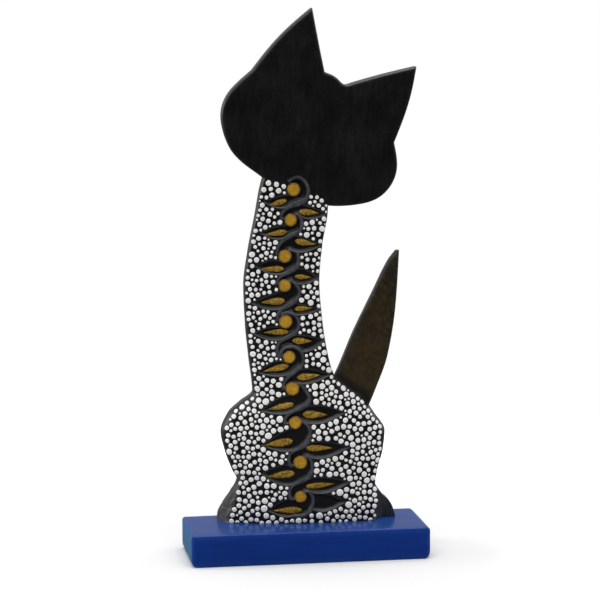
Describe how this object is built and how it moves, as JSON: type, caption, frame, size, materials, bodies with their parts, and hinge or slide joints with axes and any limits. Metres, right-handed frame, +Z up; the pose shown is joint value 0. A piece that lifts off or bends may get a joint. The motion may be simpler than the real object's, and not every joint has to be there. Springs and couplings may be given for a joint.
{
  "type": "carved wooden cat figurine on a block",
  "caption": "Flat carved wooden cat with a tall neck, dotted and leaf-carved back, spike tail and plain head, standing on a painted block.",
  "frame": {"origin": "middle of the block's underside", "axes": "+Z up, the carved back of the cat faces -Y, its plain front faces +Y, and its tail and the lower side of its tilted head are on the +X side"},
  "size_m": [0.133, 0.048, 0.3018],
  "materials": {
    "painted_carving": "satin black paint with white dots and gold ribs",
    "blue_block": "satin blue paint"
  },
  "bodies": {
    "root": {"cat": "painted_carving", "plinth": "blue_block"}
  },
  "joints": []
}
